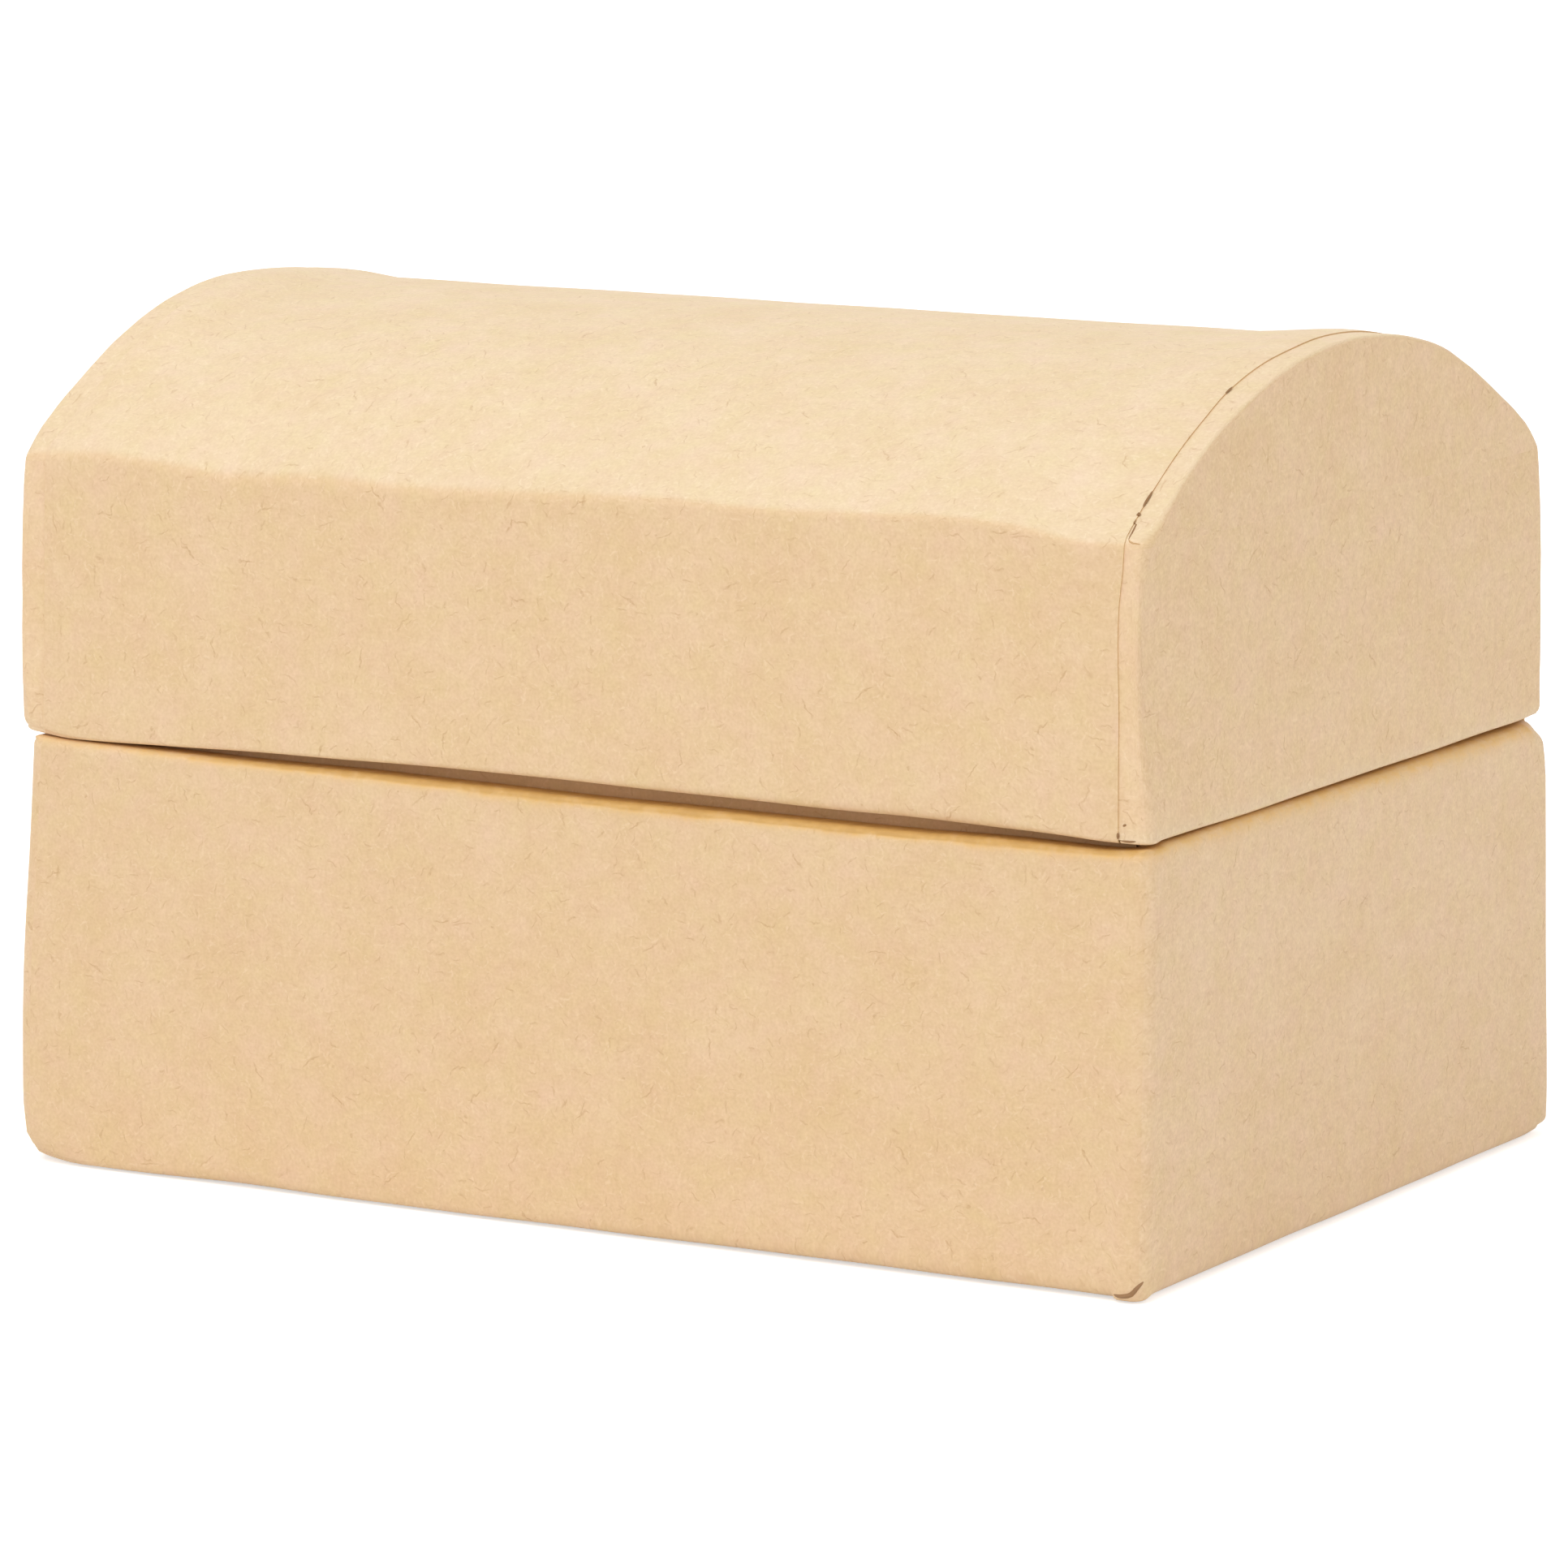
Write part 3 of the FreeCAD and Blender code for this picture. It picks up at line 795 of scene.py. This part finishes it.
def base_wrap():
    """The sheet round the walls: under the floor, up, over the rim and down inside."""
    level = np.zeros(loop_columns)
    plan = rounded_loop(level)[:-1]
    bottom = curve(bottom_roundness, plan[:, 0] / half_length)
    bottom += (ear_radius - bottom) * in_ear(plan + (0, middle_y))
    turn_under = half_length - sheet_edge + under_sheet
    path = [(turn_under * (1 - s) + bottom * s, wrap_underside) for s in np.linspace(0, 1, 4)]
    for angle in steps(0, math.pi / 2, 9):
        path.append((bottom * (1 - math.sin(angle)), wrap_underside + bottom * (1 - math.cos(angle))))
    for share in steps(0, 0.9, 24) + steps(0.9, 1, 14):
        start = wrap_underside + bottom
        path.append((0.0, start + (base_rim - start) * share))
    inner = base_wall - inner_rim_radius
    for share in steps(0, 1, 14):
        path.append((inner * share, base_rim))
    for angle in steps(0, math.pi / 2, 5):
        drop = inner_rim_radius * (1 - math.cos(angle))
        path.append((inner + inner_rim_radius * math.sin(angle), base_rim - drop))
    for share in steps(0, 1, 8):
        start = base_rim - inner_rim_radius
        path.append((base_wall, start + (lining_top - start) * share))
    rows = []
    for inset, z in path:
        loop = rounded_loop(inset + level)
        heights = np.resize(z + level, len(loop))
        rows.append(np.column_stack([loop[:, 0], loop[:, 1] + middle_y, heights]))
    grid = np.array(rows)
    around = run_lengths(grid.transpose(1, 0, 2)).T[len(rows) // 2]
    patches = Patchwork()
    patches.add(grid, around, run_lengths(grid)[:, :1])
    mesh = patches.mesh("base_wrap", (0, -1, 0))
    # Painted shade and warm bounce light along the base's rim under the lid
    store_painted_shading(mesh, "wear_and_rim_shade", painted_rim_shade(np.array([corner.co for corner in mesh.vertices])))
    move_points(mesh, shape_base)
    wave(mesh)
    piece = thickened(mesh, "base_wrap_paper", paper, (base_cover, cut_edge_and_shade, base_end_cool_light_cover))
    # The same sheet on the base's ends takes the copy painted lighter and bluer for the cooler light there
    for face in piece.data.polygons:
        if face.material_index == 0 and abs(face.normal.x) > end_facing:
            face.material_index = 2
    settle(piece, "base", "base_wrap")
    return piece


def lid_section(radius, layer):
    """The lid's outline over its creases and top, as points and outward directions."""
    big = dome_radius - layer
    y = half_depth - layer - radius
    z = dome_centre_z + np.sqrt((big - radius) ** 2 - y ** 2)
    to_crease = math.atan2(y, z - dome_centre_z)
    front = [(-y, z, radius, angle) for angle in np.linspace(-math.pi / 2, -to_crease, 11)]
    top = [(0.0, dome_centre_z, big, angle) for angle in np.linspace(-to_crease, to_crease, 57)[1:-1]]
    back = [(y, z, radius, angle) for angle in np.linspace(to_crease, math.pi / 2, 11)]
    arcs = np.array(front + top + back)
    out = np.column_stack([np.sin(arcs[:, 3]), np.cos(arcs[:, 3])])
    return arcs[:, :2] + out * arcs[:, 2:3], out


def rim_turn(radius, wall, wall_top):
    """A wall's section from inside, under its rim and up the outside, as (inset, height) pairs."""
    inner = inner_rim_radius
    path = [(wall, turn_in_edge + (lid_rim + inner - turn_in_edge) * s) for s in np.linspace(0, 1, 7)]
    for angle in steps(0, math.pi / 2, 4):
        path.append((wall - inner * (1 - math.cos(angle)), lid_rim + inner * (1 - math.sin(angle))))
    path.append(((wall - inner + radius) / 2, lid_rim))
    for angle in np.linspace(0, math.pi / 2, 8):
        path.append((radius * (1 - math.sin(angle)), lid_rim + radius * (1 - math.cos(angle))))
    start = lid_rim + radius
    path += [(0.0, start + (wall_top - start) * s ** wall_row_power) for s in steps(0, 1, wall_rows)]
    return path


def lid_cover():
    """The sheet over front, top and back, turned in under both rims and cut short of both ends."""
    columns = []
    places = np.linspace(-1, 1, cover_columns)
    for share in places:
        sunk = edge_press * smooth((abs(share) - 1) / edge_press_reach + 1)
        depth = half_depth - sunk
        arcs, _ = lid_section(curve(crease_roundness, share) - sunk, sunk)
        front = rim_turn(curve(front_rim_roundness, share), lid_wall, arcs[0][1])
        back = rim_turn(rear_lid_rim_radius, lid_wall, arcs[-1][1])
        section = [(inset - depth, z) for inset, z in front[:-1]]
        section += [tuple(point) for point in arcs]
        section += [(depth - inset, z) for inset, z in reversed(back[:-1])]
        columns.append([(share * seam_place, y + middle_y, z) for y, z in section])
    grid = np.array(columns).transpose(1, 0, 2)
    middle = cover_columns // 2
    along = run_lengths(grid)[:, middle:middle + 1]
    from_rim = along - along[np.argmin(grid[:len(front) - wall_rows, middle, 2])]
    grid[:, :, 0] += curve(seam_wander, from_rim / MM) * smooth((places - 1 + seam_ease) / seam_ease)
    patches = Patchwork()
    patches.add(grid, grid[:1, :, 0], along)
    mesh = patches.mesh("lid_cover", (0, 0, 1))
    move_points(mesh, shape_lid)
    wave(mesh)
    # Painted top light where the cover faces up
    paint_top_light_and_pale_rim(mesh)
    piece = thickened(mesh, "lid_cover_paper", paper, (cover, cut_edge_and_shade, pale_edge))
    # The cover's cut edge is darker with painted shade on the top than on the walls
    for face in piece.data.polygons:
        if face.material_index == 1 and face.center.z < crease_height:
            face.material_index = 2
    settle(piece, "lid", "lid_cover_sheet")
    return piece


def edge_radius(z, along):
    """How round the edge of an end paper is, at a height and a distance along the edge."""
    on_top = smooth((z - crease_height) / swell_reach)
    on_wall = curve(wall_end_roundness, (z - lid_rim) / lid_wall_height)
    swell = crease_swell * np.exp(-((z - crease_height) / swell_reach) ** 2)
    wobble = edge_wobble * sum(np.sin(turn * along / MM + start) for turn, start in edge_waves)
    return on_wall + (dome_end_radius - on_wall) * on_top + swell + wobble


def end_plan(inset, start, face_shares, radius):
    """The end paper's outline from above at one inset: front strip, end face, back strip."""
    depth = half_depth - paper
    corner = max(radius - inset, fold_radius)
    reach_x = half_length - inset - corner
    reach_y = depth - inset - corner
    plan = [(x, -reach_y - corner) for x in np.linspace(start, reach_x, 9)]
    for angle in steps(0, math.pi / 2, 7)[:-1]:
        plan.append((reach_x + corner * math.sin(angle), -reach_y - corner * math.cos(angle)))
    back = [(x, -y) for x, y in plan]
    plan += [(reach_x + corner, reach_y * share) for share in face_shares]
    return np.array(plan + back[::-1])


def end_paper(side):
    """One end's paper: over the end, onto walls and top, and turned in under the rim."""
    arcs, out = lid_section(crease_radius - paper, paper)
    wall_top = arcs[0][1]
    reach = run_lengths(arcs[:, None])[:, 0]
    radius = edge_radius(arcs[:, 1], wall_top + np.minimum(reach, reach[-1] - reach))
    inner = arcs - out * radius[:, None]
    face_shares = inner[:, 0] / inner[-1, 0]
    patches = Patchwork()

    def add(grid, across, along):
        grid = np.array(grid)
        grid[:, :, 0] *= side
        grid[:, :, 1] += middle_y
        patches.add(grid, across, along)

    def add_bent(grid):
        add(grid, run_lengths(grid.transpose(1, 0, 2)).T[-1], run_lengths(grid)[:, :1])

    def wall_row(inset, z, start):
        plan = end_plan(inset, start, face_shares, edge_radius(z, z))
        return np.column_stack([plan, np.full(len(plan), z)])

    path = rim_turn(lid_rim_radius, end_wall, wall_top)
    turn = len(path) - wall_rows
    add_bent(np.array([wall_row(inset, z, seam_place) for inset, z in path[:turn]]))
    add_bent(np.array([wall_row(0.0, z, turn_over_edge) for _, z in path[turn - 1:]]))
    face = np.array([[(half_length, y, wall_top + (z - wall_top) * share) for y, z in inner]
                     for share in np.linspace(0, 1, 17)])
    add(face, face[:, :, 1], face[:, :, 2])
    strip = [(half_length - radius * (1 - math.cos(angle)), radius * math.sin(angle))
             for angle in np.linspace(0, math.pi / 2, 8)]
    for share in steps(0, 1, 8):
        strip.append(((half_length - radius) * (1 - share) + turn_over_edge * share, radius))
    add_bent(np.array([np.column_stack([x, inner + out * lift[:, None]]) for x, lift in strip]))
    mesh = patches.mesh("end_paper", (side, 0, 0))
    move_points(mesh, shape_lid)
    wave(mesh)
    # Painted top light where the end paper faces up, and a paler rim along its lower edge
    paint_top_light_and_pale_rim(mesh, pale_rim_share)
    which = "right" if side > 0 else "left"
    piece = thickened(mesh, f"lid_{which}_end_wrap", paper, (end_cover, cut_edge_and_shade, cover, strip_cover))
    for face in piece.data.polygons:
        if face.material_index == 0 and abs(face.normal.x) < end_facing:
            face.material_index = 3 if face.normal.y < -end_facing else 2
    settle(piece, "lid", f"lid_{which}_end_paper")
    return piece


def hinge_strip():
    """The strip glued down the back of the base and the lid, one sheet across the fold."""
    heights = np.concatenate([np.linspace(hinge_bottom, base_rim - fold_zone, 12),
                              np.linspace(base_rim - fine_fold_zone, lid_rim + fine_fold_zone, 25),
                              np.linspace(lid_rim + fold_zone, hinge_top, 12)])
    xs = np.linspace(-hinge_end, hinge_end, 77)
    outer = back_face + paper
    grid = np.array([[(x, outer, z) for x in xs] for z in heights])
    patches = Patchwork()
    patches.add(grid, xs[None, :], heights[:, None])
    mesh = patches.mesh("hinge_strip", (0, 1, 0))

    def shape_strip(points):
        share = smooth((points[:, 2:] - base_rim) / (lid_rim - base_rim))
        below = shape_base(points.copy(), wear_and_rim_shade=False)
        return below * (1 - share) + shape_lid(points.copy(), wear_and_rim_shade=False) * share

    move_points(mesh, shape_strip)
    piece = thickened(mesh, "hinge_strip_paper", paper, (cover, cut_edge_and_shade))
    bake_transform(piece)
    settle(piece, None, "hinge_lower_leaf", "hinge_upper_leaf")


# The ear's crease, a dark ridge of painted shade, in mm from the base's front right bottom corner
ear_crease = ((-3.0, 0.0, 0.45), (-2.3, 0.0, 0.37), (-1.3, 0.05, 0.6), (-0.7, 0.32, 1.25),
              (-0.3, 0.75, 1.75))
ear_crease_width = 0.44 * MM

# How finely a mark follows its route, and the way from there to the outside of the paper
mark_steps = 8
to_outside = np.array((0.1, -0.1, 0.1)) * MM

# Dark ridges of painted shade along the lid's seam and at its corner, and the flap's cut edge: (up from the
# front rim, beside the seam) in mm, width and material
seam_marks = (
    ("seam_shadow", ((30.4, 0.05), (29.4, 0.06), (28.4, 0.06), (27.3, 0.05)), 0.18, painted_shade_mark),
    ("seam_flap_edge", ((27.4, 0.05), (27.0, 0.3), (26.75, 0.8), (26.65, 1.7)), 0.18, cut_edge_and_shade),
    ("seam_nick", ((30.8, 0.1), (31.2, 0.1)), 0.4, painted_shade_mark),
    ("seam_lower_tear", ((32.0, 0.05), (33.0, 0.08), (34.2, 0.05)), 0.26, painted_shade_mark),
    ("seam_upper_tear", ((51.0, 0.05), (52.4, 0.05)), 0.24, painted_shade_mark),
    ("lid_corner_fold", ((0.15, 0.15), (0.12, 0.9), (0.2, 1.7)), 0.2, painted_shade_mark),
    ("lid_corner_tear", ((0.3, 0.05), (0.9, 0.05)), 0.25, painted_shade_mark),
    ("lid_corner_speck", ((1.5, 0.35), (1.65, 0.75)), 0.22, painted_shade_mark),
)


def by_seam(route):
    """Points on the lid's outside, from (up from the front rim, beside the seam) pairs in mm."""
    up, beside = np.array(route).T
    arcs, _ = lid_section(crease_radius, 0.0)
    outline = np.concatenate([[(-half_depth, lid_rim)], arcs])
    reach = run_lengths(outline[:, None])[:, 0]
    y = np.interp(up * MM, reach, outline[:, 0]) + middle_y
    z = np.interp(up * MM, reach, outline[:, 1])
    return np.column_stack([seam_place + curve(seam_wander, up) + beside * MM, y, z])


def crease_mark(name, body, sheets, route, width, material):
    """A low ridge along a route on some sheets, tapered at both ends: painted shade in creases, tears and
    along the seam.
    """
    shape = shape_base if body == "base" else shape_lid
    places = np.linspace(0, 1, len(route))
    at = np.linspace(0, 1, mark_steps * len(route))
    line = np.column_stack([curve(np.column_stack([places, axis / MM]), at) for axis in np.array(route).T])
    line = shape(line)
    trees = [BVHTree.FromPolygons([corner.co for corner in sheet.data.vertices],
                                  [face.vertices[:] for face in sheet.data.polygons]) for sheet in sheets]
    rows = []
    for k, share in enumerate(at):
        hits = [tree.find_nearest(Vector(line[k] + to_outside)) for tree in trees]
        seat, up, _, _ = min(hits, key=lambda hit: hit[3])
        ahead = Vector(line[min(k + 1, len(at) - 1)] - line[max(k - 1, 0)])
        beside = up.cross(ahead).normalized()
        half = width / 2 * math.sqrt(max(math.sin(math.pi * share), 0.0))
        section = (seat - beside * half, seat + up * half, seat + beside * half, seat - up * half)
        rows.append([tuple(corner) for corner in section + section[:1]])
    grid = np.array(rows)
    patches = Patchwork()
    patches.add(grid, run_lengths(grid.transpose(1, 0, 2)).T, run_lengths(grid))
    mesh = patches.mesh(name, (0, -1, 0))
    mark_sharp(mesh, paper_fold_angle)
    piece = place(mesh, name, (material,))
    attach(piece, body)


def corner_marks(wrap, lid_sheets):
    """Painted shade in the creases and torn bits at the front right corner and along the seam."""
    ear_route = np.array((half_length, front_face, wrap_underside)) + np.array(ear_crease) * MM
    crease_mark("base_ear_crease", "base", [wrap], ear_route, ear_crease_width, painted_shade_mark)
    for name, route, width, material in seam_marks:
        crease_mark(name, "lid", lid_sheets, by_seam(route), width * MM, material)


def dressed_copy(name, body):
    """A packed board, lining or stay, cut fine enough to follow the glued-up shape."""
    mesh = frame["nodes"][name].data.copy()
    work = bmesh.new()
    work.from_mesh(mesh)
    bmesh.ops.remove_doubles(work, verts=work.verts, dist=weld_reach)
    bmesh.ops.dissolve_limit(work, angle_limit=flat_angle, verts=work.verts, edges=work.edges)
    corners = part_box(name)
    for axis in range(3):
        start, end = (corner[axis] for corner in corners)
        count = max(1, round((end - start) / slice_length))
        across = Vector((axis == 0, axis == 1, axis == 2))
        for share in np.linspace(0, 1, count + 1)[1:-1]:
            at = across * (start + (end - start) * share)
            everything = work.verts[:] + work.edges[:] + work.faces[:]
            bmesh.ops.bisect_plane(work, geom=everything, plane_co=at, plane_no=across)
    layer = work.loops.layers.uv.new("paper")
    for face in work.faces:
        facing = max(range(3), key=lambda axis: abs(face.normal[axis]))
        flat = [axis for axis in range(3) if axis != facing]
        for loop in face.loops:
            loop[layer].uv = [loop.vert.co[axis] for axis in flat]
    work.to_mesh(mesh)
    work.free()
    move_points(mesh, shape_base if body == "base" else shape_lid, packed=True)
    mark_sharp(mesh, board_fold_angle)
    piece = place(mesh, name + "_piece", (surfaces[node_slots[name]],))
    settle(piece, body, name)


def build_chest():
    """Every piece of the chest, dressed."""
    wrap = base_wrap()
    top = lid_cover()
    end_paper(-1)
    right_end = end_paper(1)
    hinge_strip()
    corner_marks(wrap, [top, right_end])
    modelled = {"base_wrap", "lid_cover_sheet", "lid_left_end_paper", "lid_right_end_paper",
                "hinge_lower_leaf", "hinge_upper_leaf"}
    for body, names in frame["record"]["behaviour"]["bodies"].items():
        for name in names:
            if name not in modelled:
                dressed_copy(name, body)


# The floor and the light on the chest from all round
floor_reach = 6.0
floor_tone = (0.88, 0.88, 0.88, 1)
floor_glow = 0.55
world_light = 0.64

# Soft lamps: name, place, size, power in watts and colour
softboxes = (
    ("top_softbox", (-0.2, -0.35, 1.15), 1.0, 6.35, (0.865, 0.94, 1.0)),
    ("front_softbox", (-0.2, -1.2, 0.6), 0.9, 2.1, (1.0, 0.985, 0.96)),
    ("right_softbox", (1.2, -0.3, 0.5), 0.9, 2.2, (0.94, 0.97, 1.02)),
)


def white_floor():
    """A pale floor that reads as white to the camera and keeps the chest's shadow."""
    mesh = bpy.data.meshes.new("floor")
    corners = [(x * floor_reach, y * floor_reach, 0) for x, y in ((-1, -1), (1, -1), (1, 1), (-1, 1))]
    mesh.from_pydata(corners, [], [(0, 1, 2, 3)])
    material = bpy.data.materials.new("white_floor")
    material.use_nodes = True
    tree = material.node_tree
    shader = tree.nodes["Principled BSDF"]
    shader.inputs["Base Color"].default_value = floor_tone
    shader.inputs["Roughness"].default_value = 0.9
    shader.inputs["Specular IOR Level"].default_value = 0.0
    shader.inputs["Emission Color"].default_value = (1, 1, 1, 1)
    link(tree, shader.inputs["Emission Strength"], maths(tree, "MULTIPLY", seen_rays(tree), floor_glow))
    floor = place(mesh, "floor", (material,))


def seen_rays(tree):
    """1 for rays from the camera, straight or reflected or refracted, 0 for light on the chest."""
    rays = node(tree, "ShaderNodeLightPath", {}).outputs
    seen = maths(tree, "MAXIMUM", rays["Is Camera Ray"], rays["Is Glossy Ray"])
    return maths(tree, "MAXIMUM", seen, rays["Is Transmission Ray"])


def studio_world():
    """A white world that lights the chest less than it shows."""
    world = bpy.data.worlds.new("studio")
    bpy.context.scene.world = world
    world.use_nodes = True
    tree = world.node_tree
    background = tree.nodes["Background"]
    background.inputs["Color"].default_value = (1, 1, 1, 1)
    link(tree, background.inputs["Strength"], ramp(tree, seen_rays(tree), 0.0, 1.0, world_light, 1.0))


def softbox(name, place_at, size, power, colour):
    """A square area lamp that faces the chest."""
    lamp = bpy.data.lights.new(name, "AREA")
    lamp.size = size
    lamp.energy = power
    lamp.color = colour
    holder = bpy.data.objects.new(name, lamp)
    bpy.context.scene.collection.objects.link(holder)
    holder.location = place_at
    aim = Vector((0, 0, crown / 2)) - Vector(place_at)
    holder.rotation_euler = aim.to_track_quat("-Z", "Y").to_euler()


def camera():
    """The photo's view, with no lens shift."""
    lens = bpy.data.cameras.new("camera")
    lens.sensor_width = camera_sensor
    lens.lens = camera_lens
    lens.clip_start = 0.01
    lens.clip_end = 50
    holder = bpy.data.objects.new("camera", lens)
    bpy.context.scene.collection.objects.link(holder)
    ahead = Vector((-math.sin(camera_yaw) * math.cos(camera_pitch),
                    math.cos(camera_yaw) * math.cos(camera_pitch), -math.sin(camera_pitch)))
    level = Vector((math.cos(camera_yaw), math.sin(camera_yaw), 0))
    down = ahead.cross(level)
    right = level * math.cos(camera_roll) + down * math.sin(camera_roll)
    up = level * math.sin(camera_roll) - down * math.cos(camera_roll)
    turn = Matrix((right, up, -ahead)).transposed()
    holder.matrix_world = Matrix.Translation(camera_eye) @ turn.to_4x4()
    bpy.context.scene.camera = holder


build_chest()
white_floor()
studio_world()
for lamp_settings in softboxes:
    softbox(*lamp_settings)
camera()
bpy.context.scene.view_settings.view_transform = "Standard"
